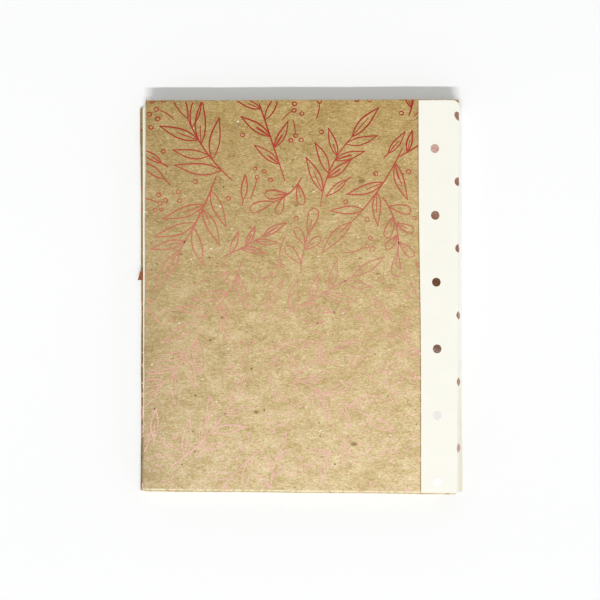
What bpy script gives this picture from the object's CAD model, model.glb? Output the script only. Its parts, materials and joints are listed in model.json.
"""The looks of a closed scrapbook album: printed kraft covers, a cream strip round the spine, card leaves."""

import itertools
import json
import math
import random

import bmesh
import bpy
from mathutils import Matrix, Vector

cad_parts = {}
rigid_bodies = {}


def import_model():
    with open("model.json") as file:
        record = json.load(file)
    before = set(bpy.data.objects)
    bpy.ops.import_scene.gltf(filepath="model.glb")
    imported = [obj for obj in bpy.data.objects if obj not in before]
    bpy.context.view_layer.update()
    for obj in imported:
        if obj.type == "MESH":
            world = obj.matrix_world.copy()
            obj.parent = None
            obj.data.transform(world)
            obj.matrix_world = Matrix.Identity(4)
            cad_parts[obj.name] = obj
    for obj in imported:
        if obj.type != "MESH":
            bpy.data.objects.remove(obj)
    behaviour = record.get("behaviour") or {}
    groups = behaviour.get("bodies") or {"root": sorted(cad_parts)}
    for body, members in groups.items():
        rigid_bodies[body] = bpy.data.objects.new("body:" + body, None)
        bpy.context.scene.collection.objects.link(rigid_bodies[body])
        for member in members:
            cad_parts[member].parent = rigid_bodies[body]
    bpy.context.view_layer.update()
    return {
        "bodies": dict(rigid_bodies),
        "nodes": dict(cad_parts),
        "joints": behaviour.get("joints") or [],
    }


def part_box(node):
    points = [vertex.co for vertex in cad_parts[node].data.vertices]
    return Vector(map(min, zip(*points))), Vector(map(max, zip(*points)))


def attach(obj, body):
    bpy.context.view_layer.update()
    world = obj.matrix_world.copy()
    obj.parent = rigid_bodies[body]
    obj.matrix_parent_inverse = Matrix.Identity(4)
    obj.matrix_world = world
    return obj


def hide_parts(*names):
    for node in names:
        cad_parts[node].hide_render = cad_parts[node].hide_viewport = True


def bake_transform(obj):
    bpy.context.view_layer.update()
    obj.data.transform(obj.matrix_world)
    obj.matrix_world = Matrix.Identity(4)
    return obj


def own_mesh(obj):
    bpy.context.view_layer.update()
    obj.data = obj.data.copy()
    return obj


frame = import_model()

MM = 0.001


def lerp(a, b, t):
    return a + (b - a) * t


def steps(a, b, count):
    """count + 1 values from a to b."""
    return [lerp(a, b, i / count) for i in range(count + 1)]


def smooth(t):
    t = min(1.0, max(0.0, t))
    return t * t * (3 - 2 * t)


# ---- places, from the frame, in millimetres


def box_mm(node):
    """The lowest and highest corner of a CAD node."""
    low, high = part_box(node)
    return [c / MM for c in low], [c / MM for c in high]


def joint_mm(name):
    """The point on a joint's axis."""
    found = next(j for j in frame["joints"] if j["name"] == name)
    return [c / MM for c in found["pos_m"]]


front_low, front_high = box_mm("front_cover_paper")
back_low, back_high = box_mm("back_cover_paper")
WIDTH = front_high[0] - front_low[0]
HEIGHT = front_high[1] - front_low[1]
HALF_W, HALF_H = WIDTH / 2, HEIGHT / 2
ALBUM_T = back_high[2]
PAPER_DEPTH = front_high[2]
BOARD_DEPTH = box_mm("front_board")[1][2]
KRAFT_T = box_mm("front_board")[0][2]
BACK_X = (back_low[0] + back_high[0]) / 2
BACK_Y = (back_low[1] + back_high[1]) / 2
BACK_TURN = (back_high[0] - back_low[0] - WIDTH) / HEIGHT
FRONT_HINGE = joint_mm("spine_fold")
BACK_HINGE = joint_mm("back_cover_open")
TURN_IN = 15.0  # width of the kraft paper turned in over the inner face
STRIP_OVERLAP = 24.3  # width of the strip on each cover, halfway up
STRIP_LEAN = 0.83  # how far the strip's long edge on the back cover sways to each side of its middle
STRIP_SHORT = (1.0, 0.6)  # distance from the strip's ends to the cover's edge, at the tail and the head
PROUD = 0.12  # how far the strip stands above the kraft paper
STRIP_T = 0.2
EDGE_R = 0.55  # radius of the paper's bend round the board
CORNER_R = 0.8  # radius of a wrapped corner in plan

# The spine's own directions: along it, from the front hinge to the back one, and outwards.
SPINE_RUN = Vector((BACK_HINGE[0] - FRONT_HINGE[0], 0, BACK_HINGE[2] - FRONT_HINGE[2]))
SPINE_UP = SPINE_RUN.normalized()
SPINE_OUT = Vector((SPINE_UP.z, 0, -SPINE_UP.x))

# How far each hand-cut edge lies outside a true rectangle: (at the fore edge, at the spine).
BACK_HEAD_CUT = (-0.75, 1.55)
BACK_TAIL_CUT = (0.75, 1.15)
BACK_FORE_CUT = (-0.3, 0.25)  # at the tail, at the head
FRONT_FORE_CUT = (0.6, 0.2, 1.0)  # at the tail, halfway, at the head

FOLD_ROOM = 1.5  # gap between the back cover's spine edge and its hinge: room for the strip when open
HEAD_TAB = 2.4  # height of the corner at the head that keeps its full width


def waver(along, phase):
    """The slight unevenness of an edge cut and folded by hand."""
    return 0.1 * math.sin(0.083 * along + phase) + 0.07 * math.sin(0.24 * along + 2 * phase)


def uneven(x, y, phase):
    """A point of a cover, moved a little if it is near the fore, head or tail edge."""
    fore = smooth((-2 * x / WIDTH - 0.9) * 10)
    end = smooth((2 * abs(y) / HEIGHT - 0.93) * 14)
    return x + fore * waver(y, phase), y + math.copysign(end, y) * waver(x, phase + (1.7 if y > 0 else 0.4))


def front_fore_terms():
    """c0, c1 and c2: the front cover's fore edge lies c0 + c1 t + c2 t * t outside the true rectangle."""
    tail, middle, head = FRONT_FORE_CUT
    return middle, (head - tail) / 2, (head + tail) / 2 - middle


def on_front(x, y, depth):
    """A point of the front cover, depth millimetres in from its outer face."""
    x, y = uneven(x, y, 2.1)
    c0, c1, c2 = front_fore_terms()
    t = 2 * y / HEIGHT
    return Vector((x - (c0 + c1 * t + c2 * t * t) * smooth(-2 * x / WIDTH), y, depth))


def on_back(x, y, depth):
    """The same point of the back cover, which is turned over, shifted, turned and out of square."""
    x, y = uneven(x, y, 0.6)
    head, tail = (lerp(cut[0], cut[1], x / WIDTH + 0.5) for cut in (BACK_HEAD_CUT, BACK_TAIL_CUT))
    x -= smooth(-2 * x / WIDTH) * lerp(BACK_FORE_CUT[0], BACK_FORE_CUT[1], y / HEIGHT + 0.5)
    y += 2 * abs(y) / HEIGHT * (head if y > 0 else -tail)
    c, s = math.cos(BACK_TURN), math.sin(BACK_TURN)
    return Vector((BACK_X + x * c + y * s, BACK_Y - x * s + y * c, ALBUM_T - depth))


def on_back_cut(x, y, depth):
    """The same, with the spine edge cut back below the head corner."""
    point = on_back(x, y, depth)
    if y < HALF_H - HEAD_TAB:
        point.x = min(point.x, BACK_HINGE[0] - FOLD_ROOM)
    return point


def strip_edge_x(y):
    """The strip's long edge on the back cover, at a height on that cover: cut by hand, in a shallow S."""
    return HALF_W - STRIP_OVERLAP - BACK_TURN * y - STRIP_LEAN * math.tanh(3 * (2 * y / HEIGHT - 0.15))


# ---- mesh helpers

SHARP_FOLD = 40  # faces that meet at more than this angle, in degrees, keep a sharp edge


def new_object(name, data):
    obj = bpy.data.objects.new(name, data)
    bpy.context.scene.collection.objects.link(obj)
    return obj


class Shape:
    """Points in millimetres and the faces between them, made into one object at the end."""

    def __init__(self):
        self.points = []
        self.faces = []

    def add(self, points):
        """Adds points and returns their numbers."""
        first = len(self.points)
        self.points.extend(points)
        return list(range(first, len(self.points)))

    def skin(self, rows, flip=False):
        """Faces between rows of point numbers."""
        for a, b in zip(rows, rows[1:]):
            for i in range(len(a) - 1):
                face = [a[i], a[i + 1], b[i + 1], b[i]]
                self.faces.append(face[::-1] if flip else face)

    def sheet(self, front, back):
        """A closed thin solid between two grids of points with the same rows."""
        f = [self.add(row) for row in front]
        b = [self.add(row) for row in back]
        self.skin(f)
        self.skin(b, flip=True)
        self.skin([b[0], f[0]])
        self.skin([f[-1], b[-1]])
        self.skin([[r[0] for r in f], [r[0] for r in b]])
        self.skin([[r[-1] for r in b], [r[-1] for r in f]])

    def make(self, name, material, slot, merge=1e-5):
        mesh = bpy.data.meshes.new(name)
        mesh.from_pydata([p * MM for p in self.points], [], self.faces)
        piece = new_object(name, mesh)
        tidy_mesh(mesh, merge)
        mesh.shade_smooth()
        mesh.set_sharp_from_angle(angle=math.radians(SHARP_FOLD))
        mesh.materials.append(material)
        return piece


def tidy_mesh(mesh, merge):
    """Joins points that coincide, drops faces with no area and turns every face outwards."""
    b = bmesh.new()
    b.from_mesh(mesh)
    bmesh.ops.remove_doubles(b, verts=b.verts, dist=merge * MM)
    bmesh.ops.dissolve_degenerate(b, edges=b.edges, dist=merge * MM)
    bmesh.ops.recalc_face_normals(b, faces=b.faces)
    b.to_mesh(mesh)
    b.free()


# ---- material helpers


def srgb(r, g, b):
    """A colour given as 0 to 255 on screen, as Blender's linear values."""

    def linear(c):
        c /= 255
        return c / 12.92 if c <= 0.04045 else ((c + 0.055) / 1.055) ** 2.4

    return (linear(r), linear(g), linear(b), 1.0)


def shades(*stops):
    """Stops for a ramp, each given as its place and its colour as 0 to 255."""
    return [(place, srgb(*colour)) for place, *colour in stops]


class Graph:
    """A material's node tree, with one short call for each kind of node."""

    def __init__(self, name, roughness=0.8, specular=0.3, metallic=0.0):
        self.material = bpy.data.materials.new(name)
        self.material.use_nodes = True
        self.tree = self.material.node_tree
        self.shader = self.tree.nodes["Principled BSDF"]
        self.shader.inputs["Roughness"].default_value = roughness
        self.shader.inputs["Specular IOR Level"].default_value = specular
        self.shader.inputs["Metallic"].default_value = metallic
        self.place = self.node("TexCoord").outputs["Object"]
        self.axes = self.node("SeparateXYZ", Vector=self.place).outputs

    def put(self, socket, value):
        if isinstance(value, bpy.types.NodeSocket):
            self.tree.links.new(value, socket)
        else:
            socket.default_value = value

    def node(self, kind, **inputs):
        """A new node, with some of its inputs set or linked."""
        n = self.tree.nodes.new("ShaderNode" + kind)
        for name, value in inputs.items():
            self.put(n.inputs[name], value)
        return n

    def math(self, operation, a, b=0.0, clamp=False):
        n = self.node("Math")
        n.operation = operation
        n.use_clamp = clamp
        self.put(n.inputs[0], a)
        self.put(n.inputs[1], b)
        return n.outputs[0]

    def times(self, a, b, clamp=False):
        return self.math("MULTIPLY", a, b, clamp)

    def plus(self, a, b):
        return self.math("ADD", a, b)

    def minus(self, a, b):
        return self.math("SUBTRACT", a, b)

    def down(self):
        """0 at the head and 1 at the tail."""
        return self.range(self.axes["Y"], HALF_H * MM, -HALF_H * MM)

    def scaled(self, x=1.0, y=1.0, z=1.0, turn=0.0):
        """The place, stretched and turned about Z."""
        return self.node("Mapping", Vector=self.place, Scale=(x, y, z), Rotation=(0, 0, turn)).outputs[0]

    def noise(self, size_mm, detail=4.0, roughness=0.55, place=None, distortion=0.0):
        n = self.node("TexNoise", Vector=place or self.place, Scale=1 / (size_mm * MM), Detail=detail,
                      Roughness=roughness, Distortion=distortion)
        return n.outputs["Fac"]

    def shaken(self, place, size_mm, amount_mm):
        """A place moved about by noise, which makes outlines irregular."""
        n = self.node("TexNoise", Vector=place, Scale=1 / (size_mm * MM))
        off = self.node("VectorMath")
        off.operation = "MULTIPLY_ADD"
        for socket, value in zip(off.inputs, (n.outputs["Color"], (amount_mm * MM,) * 3, place)):
            self.put(socket, value)
        return off.outputs[0]

    def spots(self, spacing_mm, radius, share, place=None):
        """Small spots: 1 inside one, in only a share of the cells."""
        shaken = self.shaken(place or self.place, 0.8, 0.9)
        n = self.node("TexVoronoi", Vector=shaken, Scale=1 / (spacing_mm * MM))
        n.voronoi_dimensions = "2D"
        pick = self.node("SeparateColor", Color=n.outputs["Color"])
        size = self.times(pick.outputs[0], radius)
        inside = self.times(self.minus(size, n.outputs["Distance"]), 25.0, clamp=True)
        chosen = self.math("LESS_THAN", pick.outputs[1], share)
        return self.times(inside, chosen)

    def range(self, value, a, b, low=0.0, high=1.0):
        n = self.node("MapRange")
        for i, x in enumerate((value, a, b, low, high)):
            self.put(n.inputs[i], x)
        return n.outputs[0]

    def ramp(self, value, stops):
        """A colour for each value, through (position, colour) stops."""
        n = self.node("ValToRGB", Fac=value)
        elements = n.color_ramp.elements
        while len(elements) < len(stops):
            elements.new(0.5)
        for element, (position, colour) in zip(elements, stops):
            element.position = position
            element.color = colour
        return n.outputs[0]

    def mix(self, factor, a, b, blend="MIX"):
        n = self.node("Mix")
        n.data_type = "RGBA"
        n.blend_type = blend
        for i, value in ((0, factor), (6, a), (7, b)):
            self.put(n.inputs[i], value)
        return n.outputs[2]

    def bump(self, height, depth_mm, strength=1.0):
        n = self.node("Bump", Strength=strength, Distance=depth_mm * MM, Height=height)
        self.tree.links.new(n.outputs[0], self.shader.inputs["Normal"])

    def inside(self, a, b):
        """Distance to the left of the straight line from a to b, seen from above."""
        run = (b - a).normalized()
        across = self.times(self.axes["X"], -run.y)
        up = self.times(self.axes["Y"], run.x)
        return self.minus(self.plus(across, up), (run.x * a.y - run.y * a.x) * MM)

    def done(self, colour):
        self.put(self.shader.inputs["Base Color"], colour)
        return self.material


# ---- materials

HEAD_KRAFT = (srgb(150, 117, 59), srgb(184, 153, 94), srgb(214, 187, 130))
TAIL_KRAFT = (srgb(187, 160, 105), srgb(222, 197, 149), srgb(252, 230, 195))
OLIVE_TINT = (0.965, 1.015, 0.94, 1.0)
PINK_TINT = (1.022, 0.97, 1.03, 1.0)
RUBBED_IN = 1.35  # distance of the rubbed crease from the tail edge
# How the covers darken with handling: (place from the fore edge to the spine, shade).
HANDLING = ((0.0, 0.78), (0.08, 0.83), (0.23, 0.906), (0.38, 0.955), (0.53, 0.975), (0.7, 1.0))


def fibre_lines(g, size_mm, turn, stretch, width):
    """Thin curved lines where a stretched noise crosses its middle value."""
    n = g.noise(size_mm, 2.0, 0.5, g.scaled(stretch, 1.0, 1.0, turn), 0.8)
    off = g.math("ABSOLUTE", g.minus(n, 0.5))
    return g.range(off, 0.0, width, 1.0, 0.0)


def kraft_colour(g):
    """Mottled recycled paper: cloudy patches, short fibres, and dark and pale flecks."""
    stretched = g.scaled(0.6, 1.0, 1.0, 0.12)
    clouds = g.noise(8.0, 2.0, 0.5, stretched)
    mottle = g.noise(2.3, 3.0, 0.6, stretched, 0.5)
    fine = g.noise(0.66, 3.0, 0.72, g.scaled(0.45, 1.0, 1.0, -0.1), 0.8)
    sum_up = g.plus(g.times(clouds, 0.5), g.times(mottle, 0.44))
    sum_up = g.plus(sum_up, g.times(fine, 1.7))
    tone = g.range(sum_up, 0.995, 1.645)
    down = g.down()
    head, tail = (g.ramp(tone, list(zip((0.0, 0.5, 1.0), three))) for three in (HEAD_KRAFT, TAIL_KRAFT))
    colour = g.mix(down, head, tail)
    across = g.range(g.axes["X"], -HALF_W * MM, HALF_W * MM)
    handled = g.ramp(across, [(place, (shade, shade, shade, 1.0)) for place, shade in HANDLING])
    colour = g.mix(1.0, colour, handled, "MULTIPLY")
    thumbed = g.times(g.range(across, 0.0, 0.09, 0.3, 0.0), g.range(down, 0.3, 0.6))
    colour = g.mix(thumbed, colour, srgb(142, 114, 70))
    tint = g.ramp(g.noise(2.6, 2.0, 0.6, stretched), [(0.35, OLIVE_TINT), (0.65, PINK_TINT)])
    colour = g.mix(1.0, colour, tint, "MULTIPLY")
    pale = g.times(fibre_lines(g, 2.1, 0.3, 0.35, 0.02), 0.4)
    dark = g.times(fibre_lines(g, 2.6, -0.35, 0.4, 0.016), 0.42)
    colour = g.mix(pale, colour, srgb(240, 222, 184))
    colour = g.mix(dark, colour, srgb(138, 108, 62))
    for spots, strength, fleck in (
        (g.spots(9.0, 0.09, 0.18), 0.8, srgb(98, 68, 34)),
        (g.spots(19.0, 0.1, 0.3, stretched), 0.7, srgb(124, 94, 54)),
        (g.spots(7.0, 0.09, 0.2, stretched), 0.8, srgb(250, 240, 216)),
    ):
        colour = g.mix(g.times(spots, strength), colour, fleck)
    return colour, g.plus(mottle, fine)


def strip_edge_line(g, t):
    """X of the strip's long edge on the back cover; t is -1 at the tail and 1 at the head."""
    sway = g.math("TANH", g.times(g.minus(t, 0.15), 3.0))
    return g.plus(g.times(sway, -STRIP_LEAN * MM), (BACK_X + HALF_W - STRIP_OVERLAP) * MM)


def fore_edge_line(g, t):
    """X of the front cover's fore edge."""
    c0, c1, c2 = (c * MM for c in front_fore_terms())
    out = g.times(g.plus(g.times(t, c2), c1), t)
    return g.minus(-HALF_W * MM - c0, out)


def kraft_material(name, place, soiled_line, soil, half_width):
    """Kraft paper, darkened along one line from head to tail, with a rubbed and dirty tail edge."""
    g = Graph(name, roughness=0.86, specular=0.25)
    colour, fibres = kraft_colour(g)
    t = g.math("DIVIDE", g.axes["Y"], HALF_H * MM)
    off = g.math("ABSOLUTE", g.minus(g.axes["X"], soiled_line(g, t)))
    ragged = g.range(g.noise(2.0, 3.0), 0.3, 0.6, 0.6, 1.0)
    ragged = g.times(ragged, g.range(t, 0.3, -0.3, 0.7, 1.0))
    near = g.times(g.range(off, half_width * 0.3 * MM, half_width * MM, 0.9, 0.0), ragged)
    colour = g.mix(near, colour, soil)
    tail_edge = g.inside(*(place(x, -HALF_H, 0) for x in (-HALF_W, HALF_W)))
    crease = g.math("ABSOLUTE", g.minus(tail_edge, RUBBED_IN * MM))
    rubbed = g.range(g.noise(3.0, 3.0), 0.42, 0.52, 0.25, 0.9)
    rubbed = g.times(g.range(crease, 0.25 * MM, 0.7 * MM, 1.0, 0.0), rubbed)
    colour = g.mix(rubbed, colour, srgb(250, 238, 208))
    bend = g.range(tail_edge, 0.35 * MM, 0.9 * MM, 1.0, 0.0)
    colour = g.mix(g.times(bend, 0.5), colour, srgb(184, 164, 112))
    by_spine = g.range(g.axes["X"], (HALF_W - 22) * MM, HALF_W * MM, 0.3, 0.8)
    grubby = g.times(g.range(g.noise(4.0, 3.0), 0.5, 0.56), by_spine)
    colour = g.mix(g.times(bend, grubby), colour, srgb(112, 92, 48))
    g.bump(fibres, 0.07, 0.8)
    return g.done(colour)


def plain_kraft_material():
    g = Graph("plain_kraft_paper", roughness=0.86, specular=0.25)
    colour, fibres = kraft_colour(g)
    g.bump(fibres, 0.05, 0.7)
    return g.done(colour)


def print_material():
    """Foil that fades from deep red at the head to pale, broken pink at the tail."""
    g = Graph("foil_print", roughness=0.5, specular=0.5)
    kraft, fibres = kraft_colour(g)
    down = g.down()
    foil = g.ramp(down, shades(
        (0.05, 162, 32, 18), (0.14, 178, 64, 44), (0.24, 188, 90, 68),
        (0.38, 197, 117, 97), (0.54, 219, 147, 132), (0.7, 228, 162, 152),
        (0.82, 238, 178, 170), (1.0, 234, 180, 168),
    ))
    worn = g.times(g.noise(2.2, 4.0, 0.62), 0.6)
    worn = g.plus(worn, g.times(g.noise(0.7, 3.0, 0.6), 0.4))
    bias = g.range(down, 0.1, 0.45, 0.4, 0.11)
    cover = g.times(g.plus(g.minus(worn, 0.46), bias), 9.0, clamp=True)
    weakest = g.range(down, 0.25, 0.6, 1.0, 0.36)
    cover = g.times(cover, g.range(g.noise(6.0, 2.0), 0.4, 0.56, weakest, 1.0))
    glint = g.times(g.range(g.noise(1.3, 2.0), 0.52, 0.6), g.range(down, 0.35, 0.7, 0.0, 0.5))
    foil = g.mix(glint, foil, srgb(246, 222, 206))
    g.bump(fibres, 0.04, 0.5)
    return g.done(g.mix(cover, kraft, foil))


def paper_material(name, light, dark, grain_mm=0.5, bump_mm=0.03, roughness=0.8):
    """Plain paper or card with a faint cloudiness and a fine tooth."""
    g = Graph(name, roughness=roughness, specular=0.3)
    clouds = g.noise(11.0, 3.0)
    tooth = g.noise(grain_mm, 3.0, 0.7)
    tone = g.plus(g.times(clouds, 0.45), g.times(tooth, 0.55))
    g.bump(tooth, bump_mm, 0.5)
    return g.done(g.ramp(tone, [(0.3, dark), (0.7, light)]))


def handled_material():
    """The strip's paper where it bows over the spine: dulled by handling, most of all towards the tail."""
    g = Graph("cream_strip_handled", roughness=0.6, specular=0.3)
    clouds = g.noise(7.0, 3.0)
    tooth = g.noise(0.4, 3.0, 0.7)
    down = g.down()
    tone = g.plus(down, g.times(g.minus(clouds, 0.5), 0.3))
    g.bump(tooth, 0.03, 0.5)
    return g.done(g.ramp(tone, shades(
        (0.0, 249, 248, 244), (0.6, 250, 248, 241), (0.8, 240, 234, 218), (1.0, 236, 228, 208),
    )))


def striped_material(name, ground, stripe, pitch_mm, share):
    """Patterned paper: narrow stripes, slightly uneven, along the leaf's height."""
    g = Graph(name, roughness=0.75, specular=0.3)
    tooth = g.noise(0.5, 3.0, 0.7)
    wander = g.times(g.noise(6.0, 2.0), 0.25)
    across = g.plus(g.math("DIVIDE", g.axes["X"], pitch_mm * MM), wander)
    inside = g.math("LESS_THAN", g.math("FRACT", across), share)
    worn = g.range(tooth, 0.3, 0.6, 0.55, 0.9)
    g.bump(tooth, 0.03, 0.5)
    return g.done(g.mix(g.times(inside, worn), ground, stripe))


def copper_material(name, tones):
    """Copper foil whose tone drifts down the strip, with a brushed unevenness inside each dot."""
    g = Graph(name, roughness=0.34, specular=0.5, metallic=0.22)
    down = g.down()
    shimmer = g.minus(g.noise(0.9, 3.0, 0.6), 0.5)
    tone = g.plus(down, g.times(shimmer, 0.16))
    g.bump(g.noise(0.6, 3.0, 0.6), 0.02, 0.4)
    colour = g.ramp(tone, tones)
    streaks = g.range(g.noise(0.8, 3.0, 0.6, g.scaled(0.6, 1.5)), 0.46, 0.6, 0.0, 0.75)
    streaks = g.times(streaks, g.range(down, 0.66, 0.9, 1.0, 0.0))
    return g.done(g.mix(streaks, colour, g.mix(1.0, colour, srgb(206, 164, 152), "MULTIPLY")))


def board_material():
    g = Graph("greyboard", roughness=0.9, specular=0.2)
    layers = g.noise(0.5, 3.0, 0.6, g.scaled(0.05, 0.05, 1.0))
    grain = g.noise(0.8, 4.0, 0.7)
    tone = g.plus(g.times(layers, 0.5), g.times(grain, 0.5))
    g.bump(layers, 0.08, 0.7)
    return g.done(g.ramp(tone, shades((0.3, 118, 112, 102), (0.7, 170, 164, 152))))


def ribbon_material():
    """A plain-woven ribbon: ribs across it, finer threads along it."""
    g = Graph("ribbon_weave", roughness=0.55, specular=0.4)
    g.shader.inputs["Sheen Weight"].default_value = 0.25
    ribs = g.math("SINE", g.times(g.axes["X"], 2 * math.pi / (0.42 * MM)))
    threads = g.math("SINE", g.times(g.axes["Y"], 2 * math.pi / (0.3 * MM)))
    weave = g.times(ribs, threads)
    tone = g.plus(g.times(weave, 0.22), g.noise(0.8, 3.0))
    g.bump(weave, 0.04, 0.8)
    return g.done(g.ramp(tone, shades((0.25, 104, 52, 16), (0.55, 152, 80, 30), (0.8, 186, 110, 52))))


BACK_KRAFT = kraft_material("printed_kraft_back", on_back, strip_edge_line, srgb(138, 98, 44), 0.95)
FRONT_KRAFT = kraft_material("printed_kraft_front", on_front, fore_edge_line, srgb(98, 84, 58), 2.0)
PLAIN_KRAFT = plain_kraft_material()
PRINT = print_material()
CREAM = paper_material("cream_strip_paper", srgb(251, 248, 239), srgb(246, 243, 231), 0.4, 0.02, 0.6)
HANDLED_CREAM = handled_material()
LINER = paper_material("liner_paper", srgb(246, 241, 228), srgb(238, 231, 214))
CARD = paper_material("ivory_card", srgb(254, 251, 242), srgb(249, 244, 231), 0.35, 0.04)
BLUSH = striped_material("blush_paper", srgb(234, 200, 188), srgb(248, 232, 224), 5.0, 0.32)
SAND = striped_material("sand_paper", srgb(222, 204, 170), srgb(244, 234, 214), 8.0, 0.2)
TAG_CARD = paper_material("tag_card", srgb(249, 244, 230), srgb(238, 228, 206), 0.3, 0.05)
BOARD = board_material()
OUTER_COPPER = copper_material("copper_foil_outer", shades(
    (0.0, 224, 186, 174), (0.16, 222, 184, 172), (0.27, 168, 128, 108),
    (0.4, 132, 92, 68), (0.48, 114, 70, 42), (0.62, 132, 92, 72),
    (0.74, 250, 242, 238), (0.9, 255, 255, 255),
))
FOLD_COPPER = copper_material("copper_foil_fold", shades(
    (0.0, 176, 134, 118), (0.3, 164, 120, 102), (0.5, 160, 116, 98),
    (0.68, 182, 138, 122), (0.85, 196, 156, 142), (1.0, 206, 172, 160),
))
RIBBON = ribbon_material()

# ---- covers

FLAT = 20.0  # inset at which a cover paper's plain flat middle begins
SIDE_STEPS, FORE_STEPS = 18, 36


def edge_profile():
    """(inset, depth) points of the kraft paper: out over the face, round the board and back in."""
    r = EDGE_R
    bend = [math.radians(a) for a in steps(0, 90, 5)]
    upper = [(r - r * math.sin(a), PROUD + r - r * math.cos(a)) for a in bend]
    lower = [(r - r * math.cos(a), PAPER_DEPTH - r + r * math.sin(a)) for a in bend]
    below, above = HEAD_TAB + 0.05, HEAD_TAB - 0.05
    outside = [(FLAT, PROUD), (8.0, PROUD), (below, PROUD), (above, PROUD)] + upper + lower
    turned_in = [(above, PAPER_DEPTH), (below, PAPER_DEPTH), (TURN_IN, PAPER_DEPTH), (TURN_IN, BOARD_DEPTH)]
    round_board = [(below, BOARD_DEPTH), (above, BOARD_DEPTH), (KRAFT_T, BOARD_DEPTH), (KRAFT_T, KRAFT_T)]
    return outside + turned_in + round_board + [(above, KRAFT_T), (below, KRAFT_T), (FLAT, KRAFT_T)]


# The faces that close the folded paper's end, as runs of edge_profile points.
END_FACES = (
    ((0, 3), (25, 27)), ((2, 4), (24, 26)), ((3, 17), (21, 25)), ((16, 18), (20, 22)), ((17, 21), (0, 0)),
)


def edge_ring(inset):
    """The line at one inset round three edges, from the spine at the tail to the spine at the head."""
    x0, y0 = -HALF_W + inset, HALF_H - inset
    cx, cy = -HALF_W + CORNER_R, HALF_H - CORNER_R
    r = CORNER_R - inset
    if r > 0:
        turn = [math.radians(a) for a in steps(0, 90, 4)]
        corner = [(cx - r * math.sin(a), -cy - r * math.cos(a)) for a in turn]
    else:
        corner = [(x0, -y0)] * 5
    tail = [(x, -y0) for x in steps(HALF_W, corner[0][0], SIDE_STEPS)]
    fore = [(x0, y) for y in steps(corner[-1][1], -corner[-1][1], FORE_STEPS)]
    head = [(x, -y) for x, y in reversed(tail + corner[1:])]
    return tail + corner[1:] + fore[1:-1] + head


def cover_wrap(name, place, body, node, paint):
    """The kraft paper of one cover, as a closed thin solid folded round its board."""
    s = Shape()
    rings = [[place(x, y, depth) for x, y in edge_ring(inset)] for inset, depth in edge_profile()]
    numbers = [s.add(ring) for ring in rings]
    s.skin(numbers)
    xs = steps(HALF_W, -HALF_W + FLAT, SIDE_STEPS)
    ys = steps(-HALF_H + FLAT, HALF_H - FLAT, FORE_STEPS)
    spine_edges = []
    for depth in (PROUD, KRAFT_T):
        rows = [s.add([place(x, y, depth) for x in xs]) for y in ys]
        s.skin(rows)
        spine_edges.append([row[0] for row in rows])
    s.skin(spine_edges)
    for end in (0, -1):
        rim = [ring[end] for ring in numbers]
        for (a, b), (c, d) in END_FACES:
            s.faces.append(rim[a:b] + rim[c:d])
    piece = s.make(name, paint, "printed_kraft")
    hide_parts(node)
    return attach(piece, body)


def cover_board(name, place, body, node):
    """The greyboard inside one cover, cut to the same outline as its paper."""
    s = Shape()
    tab = HALF_H - HEAD_TAB
    ys = steps(-HALF_H + KRAFT_T, tab - 0.05, 24) + [tab + 0.05, HALF_H - KRAFT_T]
    xs = steps(-HALF_W + KRAFT_T, HALF_W, 16)
    s.sheet(*([[place(x, y, depth) for x in xs] for y in ys] for depth in (KRAFT_T, BOARD_DEPTH)))
    piece = s.make(name, BOARD, "greyboard")
    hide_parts(node)
    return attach(piece, body)


cover_wrap("front_kraft_wrap", on_front, "front_cover", "front_cover_paper", FRONT_KRAFT)
cover_wrap("back_kraft_wrap", on_back_cut, "back_cover", "back_cover_paper", BACK_KRAFT)
cover_board("front_cut_board", on_front, "front_cover", "front_board")
cover_board("back_cut_board", on_back_cut, "back_cover", "back_board")

# ---- foil sprigs

LINE = 0.9  # usual width of a drawn line
INK = 0.025  # how far the foil stands above the paper
INK_STEP = 0.0015  # difference in height between one line and the next, so lines can cross
INK_LEVELS = 17  # heights before they start again from the lowest
PRINT_OVER = 5.4  # printed paper that shows past an edge, on the side and the turn-in
BACK_SEED = 11  # where the random choices of each cover's print start
FRONT_SEED = 31


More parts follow.
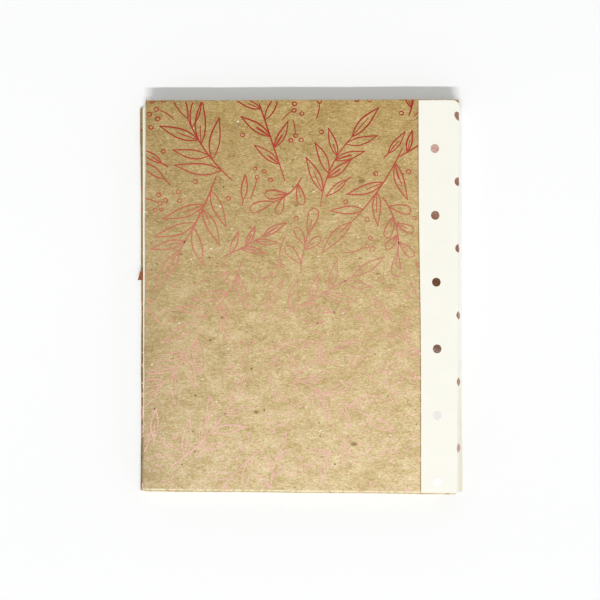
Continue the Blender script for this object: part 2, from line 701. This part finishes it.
class Print:
    """Drawn lines on a cover. u runs from the fore edge to the spine and v from the head to the tail."""

    def __init__(self, seed):
        self.random = random.Random(seed)
        self.lines = []
        self.taken = []

    def line(self, points, width=LINE):
        self.lines.append((points, width * self.random.uniform(0.85, 1.15)))

    def leaf(self, u, v, angle, length, width, pointed):
        """Two sides that meet at the tip, and half a vein."""
        bend = self.random.uniform(-0.16, 0.16)
        side_axis = math.radians(angle + 90)
        along = math.radians(angle)

        def at(t, off):
            off += bend * length * 0.25 * math.sin(math.pi * t)
            return (
                u + t * length * math.cos(along) + off * math.cos(side_axis),
                v + t * length * math.sin(along) + off * math.sin(side_axis),
            )

        along_leaf = steps(0, 1, 14)
        for side in (-1, 1):
            if pointed:
                shape = [width * 0.5 * max(math.sin(math.pi * t ** 0.82), 0) ** 1.15 for t in along_leaf]
            else:
                shape = [width * 0.78 * t ** 0.85 * (1 - t ** 3) ** 0.5 for t in along_leaf]
            self.line([at(t, side * w) for t, w in zip(along_leaf, shape)])
        for off in self.random.choice([(), (0,), (0,), (-0.07, 0.06)]):
            end = self.random.uniform(0.4, 0.65)
            self.line([at(t, off * width * math.sin(3 * t)) for t in steps(0.04, end, 5)], LINE * 0.75)

    def stem(self, u, v, angle, bend, length, parts):
        """The points of a bending line, and its heading at the end."""
        points = [(u, v)]
        for _ in range(parts):
            angle += bend / parts
            u += length / parts * math.cos(math.radians(angle))
            v += length / parts * math.sin(math.radians(angle))
            points.append((u, v))
        return points, angle

    def claim(self, spots):
        """Takes the (u, v, room) spots if each is clear of what is drawn already."""
        free = all(math.hypot(u - a, v - b) > r + c for u, v, r in spots for a, b, c in self.taken)
        if free:
            self.taken += spots
        return free

    def sprig(self, u, v, angle, bend, length, leaves, leaf_length, pointed=True):
        """A bending stem with leaves on alternate sides and one at its end, if there is room for it."""
        parts = 16
        points, heading = self.stem(u, v, angle, bend, length, parts)
        ratio = 0.23 if pointed else 0.4
        blades = [(*points[-1], heading, leaf_length * 1.05)]
        for i in range(leaves):
            share = 0.16 + 0.78 * (i + 0.5 * (i % 2)) / leaves
            j = min(parts, round(share * parts))
            spread = self.random.uniform(34, 52) * (1 if i % 2 else -1)
            size = leaf_length * self.random.uniform(0.85, 1.1) * (1 - 0.15 * share)
            blades.append((*points[j], angle + bend * share + spread, size))
        spots = [(a, b, 1.6) for a, b in points[::3]]
        for a, b, turn, size in blades:
            for share, wide in ((0.35, 0.45), (0.7, 0.45), (1.0, 0.1)):
                along = math.radians(turn)
                reach, room = size * share, 1.2 + wide * ratio * size
                spots.append((a + reach * math.cos(along), b + reach * math.sin(along), room))
        if not self.claim(spots):
            return
        self.line(points, LINE * 1.05)
        for a, b, turn, size in blades:
            self.leaf(a, b, turn, size, size * ratio, pointed)

    def berry(self, u, v, radius):
        squash = self.random.uniform(0.8, 1.0)
        start = self.random.uniform(0, 2 * math.pi)
        ring = [start + a for a in steps(0, 2 * math.pi * 0.97, 14)]
        self.line([(u + radius * math.cos(a), v + radius * squash * math.sin(a)) for a in ring], LINE * 0.85)

    def berries(self, u, v, angle, bend, length, count):
        """A thin stem that ends in a berry, with others scattered round it, if there is room for it."""
        points, angle = self.stem(u, v, angle, bend, length, 10)
        reach = math.radians(angle)
        end_u, end_v = points[-1]
        ring = [(end_u + 1.4 * math.cos(reach), end_v + 1.4 * math.sin(reach), 1.35)]
        for i in range(count - 1):
            turn = reach + (i - (count - 2) / 2) * 1.15 + self.random.uniform(-0.25, 0.25)
            away = self.random.uniform(4.6, 7.2)
            radius = self.random.uniform(1.15, 1.5)
            ring.append((end_u + away * math.cos(turn), end_v + away * math.sin(turn), radius))
        if not self.claim([(a, b, 1.2) for a, b in points[::3]] + [(a, b, r + 0.8) for a, b, r in ring]):
            return
        self.line(points, LINE * 0.8)
        for berry in ring:
            self.berry(*berry)

    def fill(self, top, bottom):
        """Motifs of each kind, the largest first, wherever there is room between two heights."""
        pick, choose = self.random.uniform, self.random.choice
        for kind, tries in (("long", 700), ("short", 900), ("berries", 500), ("leaf", 500), ("berry", 160)):
            for _ in range(tries):
                u, v, angle = pick(-6, WIDTH - 8), pick(top, bottom), pick(0, 360)
                if kind == "long":
                    self.sprig(u, v, angle, pick(-60, 60), pick(46, 70), choose([4, 5, 6]), pick(21, 30))
                elif kind == "short":
                    self.sprig(u, v, angle, pick(-45, 45), pick(24, 40), choose([3, 4, 5]), pick(14, 20),
                               pointed=pick(0, 1) < 0.35)
                elif kind == "leaf":
                    self.sprig(u, v, angle, pick(-30, 30), pick(3, 6), 0, pick(16, 26))
                elif kind == "berries":
                    self.berries(u, v, angle, pick(-40, 40), pick(6, 20), choose([3, 4, 5]))
                elif self.claim([(u, v, 2.6)]):
                    self.berry(u, v, 1.4)


def wrap_point(place, u, v, lift):
    """A point of the printed paper, carried round the fore, head or tail edge where it runs over."""

    def round_edge(q):
        """(inset, depth, outward share, upward share) at q in from an edge; below zero is past it."""
        r = EDGE_R
        if q >= r:
            return q, PROUD, 0.0, 1.0
        a = (r - q) / r
        if a <= math.pi / 2:
            return r - r * math.sin(a), PROUD + r - r * math.cos(a), math.sin(a), math.cos(a)
        down = (r - q) - r * math.pi / 2
        wall = PAPER_DEPTH - PROUD - 2 * r
        if down <= wall:
            return 0.0, PROUD + r + down, 1.0, 0.0
        a = (down - wall) / r
        if a <= math.pi / 2:
            return r - r * math.cos(a), PAPER_DEPTH - r + r * math.sin(a), math.cos(a), -math.sin(a)
        return r + (down - wall) - r * math.pi / 2, PAPER_DEPTH, 0.0, -1.0

    x, y, depth = -HALF_W + u, HALF_H - v, PROUD - lift
    if u < EDGE_R:
        inset, deep, out, up = round_edge(u)
        x, depth = -HALF_W + inset - out * lift, deep - up * lift
    elif v < EDGE_R:
        inset, deep, out, up = round_edge(v)
        y, depth = HALF_H - inset + out * lift, deep - up * lift
    elif HEIGHT - v < EDGE_R:
        inset, deep, out, up = round_edge(HEIGHT - v)
        y, depth = -HALF_H + inset - out * lift, deep - up * lift
    return place(x, y, depth)


def draw(name, sketch, place, body, strip_edge):
    """Every line of a sketch as a thin closed ribbon on the paper, cut where the paper ends."""

    def shows(u, v):
        outside = (u < EDGE_R) + (v < EDGE_R) + (HEIGHT - v < EDGE_R)
        across = -PRINT_OVER < u < strip_edge(v) + 1.5
        return outside < 2 and across and -PRINT_OVER < v < HEIGHT + PRINT_OVER

    s = Shape()
    for number, (points, width) in enumerate(sketch.lines):
        ink = INK + INK_STEP * (number % INK_LEVELS)
        run = []
        total = len(points)
        for i, (u, v) in enumerate(points):
            before, after = points[max(0, i - 1)], points[min(total - 1, i + 1)]
            du, dv = after[0] - before[0], after[1] - before[1]
            size = math.hypot(du, dv) or 1.0
            taper = 0.55 + 0.45 * math.sin(math.pi * (0.12 + 0.76 * i / (total - 1)))
            taper *= lerp(1.05, 0.9, v / HEIGHT)
            half = width / 2 * taper
            run.append((u, v, -dv / size * half, du / size * half) if shows(u, v) else None)
        for shown, part in itertools.groupby(run, bool):
            part = list(part)
            if shown and len(part) > 1:
                s.sheet(*([[wrap_point(place, u + k * a, v + k * b, lift) for k in (1, -1)]
                           for u, v, a, b in part] for lift in (ink, -INK)))
    piece = s.make(name, PRINT, "printed_kraft", merge=1e-6)
    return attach(piece, body)


def sketch(seed):
    """One cover's print, filled from beyond its head edge to beyond its tail edge."""
    p = Print(seed)
    p.fill(-10, HEIGHT + 8)
    return p


def strip_edge_back(v):
    """u of the strip's long edge on the back cover."""
    return strip_edge_x(HALF_H - v) + HALF_W


def strip_edge_front(v):
    return WIDTH - STRIP_OVERLAP


draw("back_foil_sprigs", sketch(BACK_SEED), on_back, "back_cover", strip_edge_back)
draw("front_foil_sprigs", sketch(FRONT_SEED), on_front, "front_cover", strip_edge_front)

# ---- strip and dots

BOW_OUT = 110.1  # x that the strip's bow reaches
BOW_OUT_TAIL = 0.7  # how much further it reaches at the tail
JOIN_OUT = 1.1  # distance outside the hinge plane at which the bow meets the hinge folds
FOLD_DROP = 4.0  # how far the strip runs straight down just past its upper fold
FOLD_FLARE = 0.1  # share of the bow's reach that it gains on the way
HEAD_CUT = (2.8, 2.1)  # width and height of the corner cut off the strip at the head
DOT_R = 2.85  # radius of a dot
DOT_LIFT = 0.02  # how far the foil stands above the strip
DOT_PITCH = 42.9  # distance between two dots of a column
DOT_DROPS = (31.1, 9.3)  # distance of a column's first dot from the head, in even and odd columns
FIRST_DOTS = 10.5  # distance of the first column from the strip's edge
DOT_COLUMNS = 15.5  # distance of each column from the next


def bezier(a, b, c, d, t):
    k = 1 - t
    return a * k ** 3 + b * 3 * k * k * t + c * 3 * k * t * t + d * t ** 3


def strip_line(y_share):
    """The strip's outer line across the album, from its edge on the back cover to the front one's."""
    y = lerp(-HALF_H + STRIP_SHORT[0], HALF_H - STRIP_SHORT[1], y_share)
    back_in = strip_edge_x(y)
    fold = HALF_W + lerp(1.1, 0.15, y_share)
    top = [on_back(x, y, 0) for x in steps(back_in, fold, 24)]
    bottom = [on_front(x, y, 0) for x in steps(HALF_W + 0.15, HALF_W - STRIP_OVERLAP, 24)]
    reach = BOW_OUT + BOW_OUT_TAIL * (1 - smooth(y_share / 0.2))
    middle = Vector((reach, y, ALBUM_T * 0.47))
    first, last = top[-1], bottom[0]
    flare = (reach - first.x) * FOLD_FLARE
    over = (first, first + Vector((flare, 0, -FOLD_DROP)),
            middle + Vector((0, 0, 0.45 * (first.z - middle.z))), middle)
    under = (middle, middle - Vector((0, 0, 0.5 * middle.z)),
             last + Vector((0.5 * (reach - last.x), 0, 0.5 * FOLD_DROP)), last)
    bow = [bezier(*curve, t) for curve in (over, under) for t in steps(0, 1, 20)[1:]]
    line = top + bow + bottom[1:]
    for p in line:
        cut = min(1.0, max(0.0, 1 + (p.x - first.x) / HEAD_CUT[0]))
        p.y -= HEAD_CUT[1] * y_share ** 10 * cut
    return line


class StripSurface:
    """The strip's outer surface: a point for each distance across it and share of its height."""

    def __init__(self, rows=61):
        self.shares = steps(0, 1, rows - 1)
        self.lines = [strip_line(s) for s in self.shares]
        self.runs = [self.measure(line) for line in self.lines]
        self.fold = [self.fold_run(line, run) for line, run in zip(self.lines, self.runs)]

    @staticmethod
    def measure(line):
        run = [0.0]
        for a, b in zip(line, line[1:]):
            run.append(run[-1] + (b - a).length)
        return run

    @staticmethod
    def fold_run(line, run):
        """Distances at which the line passes outside the two hinges."""
        out = [(p - Vector(FRONT_HINGE)).dot(SPINE_OUT) - JOIN_OUT for p in line]
        marks = []
        for i in range(len(line) - 1):
            if (out[i] > 0) != (out[i + 1] > 0):
                marks.append(lerp(run[i], run[i + 1], out[i] / (out[i] - out[i + 1])))
        return marks[0], marks[-1]

    def on_row(self, row, s):
        line, run = self.lines[row], self.runs[row]
        s = min(max(s, 0.0), run[-1])
        i = next((k for k in range(len(run) - 1) if run[k + 1] >= s), len(run) - 2)
        t = (s - run[i]) / (run[i + 1] - run[i])
        across = (line[i + 1] - line[i]).normalized()
        return line[i].lerp(line[i + 1], t), Vector((-across.z, 0, across.x))

    def at(self, s, share):
        """The point and its outward direction."""
        place = share * (len(self.shares) - 1)
        row = min(int(place), len(self.shares) - 2)
        t = place - row
        a, na = self.on_row(row, s)
        b, nb = self.on_row(row + 1, s)
        return a.lerp(b, t), na.lerp(nb, t).normalized()


strip = StripSurface()


def strip_part(name, part, limits, count, node, paint=CREAM):
    """One stretch of the strip between two distances, given for each row, as a closed thin solid."""
    outer, inner = [], []
    for row in range(len(strip.shares)):
        low, high = limits(row)
        pairs = [strip.on_row(row, s) for s in steps(low, high, count)]
        outer.append([p for p, n in pairs])
        inner.append([p - n * STRIP_T for p, n in pairs])
    s = Shape()
    s.sheet(outer, inner)
    piece = s.make(name, paint, "dotted_strip")
    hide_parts(node)
    return hang(piece, part)


def hang(piece, part):
    """Bends a piece over a cover's hinge, or lets the bow flatten as the spine folds out."""
    if part == "bow":
        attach(piece, "spine")
        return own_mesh(piece)
    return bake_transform(piece)


strip_part("strip_over_back_hinge", "back", lambda r: (0, strip.fold[r][0]), 40, "back_strip_flap")
strip_part("strip_bow", "bow", lambda r: strip.fold[r], 28, "spine_strip", HANDLED_CREAM)
strip_part("strip_over_front_hinge", "front", lambda r: (strip.fold[r][1], strip.runs[r][-1]), 40,
           "front_strip_flap")


def dots():
    """Foil dots in staggered columns, each as a thin disc that follows the strip."""
    shapes = {}
    length = HEIGHT - sum(STRIP_SHORT)
    for column in range(4):
        for k in range(6):
            v = DOT_DROPS[column % 2] + k * DOT_PITCH
            if v > length + DOT_R:
                continue
            centre_share = 1 - v / length
            centre_s = FIRST_DOTS + column * DOT_COLUMNS
            row = round(min(max(centre_share, 0), 1) * (len(strip.shares) - 1))
            low, high = strip.fold[row]
            for part, a, b in (("back", 0, low), ("bow", low, high), ("front", high, strip.runs[row][-1])):
                kind = "outer" if column == 0 else "fold"
                shape = shapes.setdefault((part, kind), Shape())
                add_dot(shape, centre_s, centre_share, length, a, b)
    for (part, kind), shape in shapes.items():
        if shape.faces:
            paint = OUTER_COPPER if kind == "outer" else FOLD_COPPER
            hang(shape.make(f"strip_dots_{part}_{kind}", paint, "dotted_strip", merge=1e-6), part)


def add_dot(shape, centre_s, centre_share, length, low, high):
    """The part of one dot between two distances across the strip, in narrow bands along it."""
    a, b = max(centre_s - DOT_R, low), min(centre_s + DOT_R, high)
    if b - a < 0.15:
        return
    front, back = [], []
    for s in steps(a, b, 14):
        half = math.sqrt(max(DOT_R ** 2 - (s - centre_s) ** 2, 0.0025))
        shares = [min(max(centre_share + h / length, 0), 1) for h in steps(-half, half, 10)]
        pairs = [strip.at(s, share) for share in shares]
        front.append([p + n * DOT_LIFT for p, n in pairs])
        back.append([p - n * DOT_LIFT for p, n in pairs])
    shape.sheet(front, back)


dots()

# ---- leaves, fins, ribbon

FIN_SHORT = 0.5  # how much shorter a fin is than its card, at each end
LEAVES = [n[5] for n in sorted(frame["bodies"]) if n.startswith("page_")]


def leaf_card(number):
    """One card leaf with softened corners, cut by hand: each leaf a little different at its fore edge."""
    low, high = box_mm(f"page_{number}_card")
    n = int(number)
    more = 0.63 - 0.25 * ((3 * n) % 5)
    skew = 0.15 * math.cos(2.3 * n) + 0.3
    corner = 0.9

    def outline(inset):
        """Points round the card, with its two outer corners rounded."""
        x0, x1 = low[0] - more + inset, high[0]
        y0, y1 = low[1] + inset, high[1] - inset
        turn = [math.radians(a) for a in steps(0, 90, 4)]
        tail_corner = [(x0 + corner - corner * math.sin(a), y0 + corner - corner * math.cos(a)) for a in turn]
        head_corner = [(x, y0 + y1 - y) for x, y in reversed(tail_corner)]
        tail = [(x, y0) for x in steps(x1, x0 + corner + 4, 6)]
        head = [(x, y1) for x, _ in reversed(tail)]
        ring = tail + tail_corner + head_corner + head
        lean = [x - skew * 2 * y / HEIGHT * smooth((x1 - x) / (x1 - x0)) for x, y in ring]
        return [(x, y) for x, (_, y) in zip(lean, ring)]

    s = Shape()
    soft = 0.06
    levels = [(soft, low[2]), (0.0, low[2] + soft), (0.0, high[2] - soft), (soft, high[2])]
    rings = [s.add([Vector((x, y, z)) for x, y in outline(inset)]) for inset, z in levels]
    for a, b in zip(rings, rings[1:]):
        s.skin([a + a[:1], b + b[:1]])
    for ring in (rings[0], rings[-1]):
        half = len(ring) // 2
        for i in range(half):
            j = len(ring) - 1 - i
            if j - i > 1:
                s.faces.append([ring[i], ring[i + 1], ring[j - 1], ring[j]] if j - 1 > i + 1 else
                               [ring[i], ring[i + 1], ring[j]])
    piece = s.make(f"page_{number}_cut_card", CARD, "cream_card")
    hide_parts(f"page_{number}_card")
    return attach(piece, f"page_{number}")


def hinge_fin(number):
    """A leaf's paper fin, from its root on the spine to the card that it is glued into."""
    low, high = box_mm(f"page_{number}_fin")
    crease = joint_mm(f"page_{number}_turn")
    root = Vector((crease[0], 0, crease[2])) + SPINE_OUT * 0.15
    half = (high[2] - low[2]) / 2
    card_end = box_mm(f"page_{number}_card")[1][0]
    xs = [root.x] + [crease[0] - d for d in (0.0, 0.3, 0.7, 1.2, 1.8, 2.5, 3.5, 4.5, 5.5)] + [card_end - 1.2]
    zs = [root.z] + [crease[2]] * (len(xs) - 1)
    ys = steps(low[1] + FIN_SHORT, high[1] - FIN_SHORT, 30)
    s = Shape()
    upper = [[Vector((x, y, z + half)) for x, z in zip(xs, zs)] for y in ys]
    lower = [[Vector((x, y, z - half)) for x, z in zip(xs, zs)] for y in ys]
    s.sheet(upper, lower)
    piece = s.make(f"page_{number}_hinge_fin", PLAIN_KRAFT, "plain_kraft")
    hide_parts(f"page_{number}_fin")
    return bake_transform(piece)


for number in LEAVES:
    hinge_fin(number)
    leaf_card(number)


def ribbon():
    """The tag's ribbon pull: flat where it is glued, slightly cupped towards its slanted cut end."""
    low, high = box_mm("tag_ribbon")
    long_end, width = low[0], high[1] - low[1]
    cut = 1.7
    thick = 0.22

    def point(t, k, lift):
        """t runs from the cut end to the glued end, and k across the ribbon."""
        x = lerp(long_end + cut * k, high[0], t) + 0.05 * math.sin(23 * k) * (t == 0)
        cup = smooth(1 - t / 0.5) * 0.12 * (2 * k - 1) ** 2
        return Vector((x, low[1] + width * k + 0.05 * math.sin(9 * t), low[2] + lift + cup))

    s = Shape()
    s.sheet(*([[point(t, k, lift) for k in steps(0, 1, 12)] for t in steps(0, 1, 40)] for lift in (thick, 0)))
    piece = s.make("ribbon_pull", RIBBON, "rust_ribbon")
    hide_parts("tag_ribbon")
    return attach(piece, "tag")


ribbon()

# ---- carried-over CAD nodes

for name, node in frame["nodes"].items():
    if node.hide_render:
        continue
    if "liner" in name:
        paint = LINER
    elif "upper_mat" in name or name.startswith("pocket"):
        paint = BLUSH
    elif "lower_mat" in name:
        paint = SAND
    elif name == "pull_tag":
        paint = TAG_CARD
    elif name == "binding_base":
        paint = PLAIN_KRAFT
    else:
        paint = CARD
    node.data.materials.clear()
    node.data.materials.append(paint)

# ---- floor, light and camera

CAMERA_X, CAMERA_Y, CAMERA_Z = 3.8, -0.45, 463.0
LENS = 41.6
LIGHT_ELEVATION = 46.5  # degrees
LIGHT_DISTANCE = 8.0  # metres, like the light's size
LIGHT_LENGTH, LIGHT_WIDTH = 3.8, 0.23
LIGHT_WATTS = 424
FLOOR_GAP = 0.05  # distance of the floor below the album
HORIZON_GLOW = 0.86  # brightness of the surroundings near the floor
OVERHEAD_GLOW = 0.515  # and overhead


def floor():
    g = Graph("floor_white", roughness=0.9, specular=0.0)
    up = g.range(g.axes["Y"], -0.16, 0.02)
    paint = g.done(g.ramp(up, shades((0.0, 248, 248, 248), (1.0, 251, 251, 251))))
    mesh = bpy.data.meshes.new("floor")
    size = 4.0
    corners = [(-size, -size), (size, -size), (size, size), (-size, size)]
    mesh.from_pydata([(x, y, -FLOOR_GAP * MM) for x, y in corners], [], [(0, 1, 2, 3)])
    mesh.materials.append(paint)
    new_object("floor", mesh)


def key_light():
    """One long, narrow light beyond the tail: a crisp shadow at the head with soft ends."""
    light = bpy.data.lights.new("key", "AREA")
    light.shape = "RECTANGLE"
    light.size, light.size_y = LIGHT_LENGTH, LIGHT_WIDTH
    light.energy = LIGHT_WATTS
    obj = new_object("key", light)
    e = math.radians(LIGHT_ELEVATION)
    obj.location = (0.0, -LIGHT_DISTANCE * math.cos(e), LIGHT_DISTANCE * math.sin(e))
    obj.rotation_euler = (math.radians(90 - LIGHT_ELEVATION), 0, 0)


def surroundings():
    world = bpy.data.worlds.new("studio")
    world.use_nodes = True
    background = world.node_tree.nodes["Background"]
    nodes, links = world.node_tree.nodes, world.node_tree.links
    direction = nodes.new("ShaderNodeSeparateXYZ")
    links.new(nodes.new("ShaderNodeTexCoord").outputs["Generated"], direction.inputs[0])
    glow = nodes.new("ShaderNodeMapRange")
    for i, value in enumerate((0.25, 0.5, HORIZON_GLOW, OVERHEAD_GLOW), start=1):
        glow.inputs[i].default_value = value
    links.new(direction.outputs["Z"], glow.inputs[0])
    links.new(glow.outputs[0], background.inputs["Strength"])
    background.inputs["Color"].default_value = (0.98, 1.0, 0.99, 1)
    bpy.context.scene.world = world


def camera():
    data = bpy.data.cameras.new("camera")
    data.lens = LENS
    data.sensor_width = 36
    data.clip_start = 0.01
    obj = new_object("camera", data)
    obj.location = (CAMERA_X * MM, CAMERA_Y * MM, CAMERA_Z * MM)
    bpy.context.scene.camera = obj


floor()
key_light()
surroundings()
camera()
bpy.context.scene.view_settings.view_transform = "Standard"
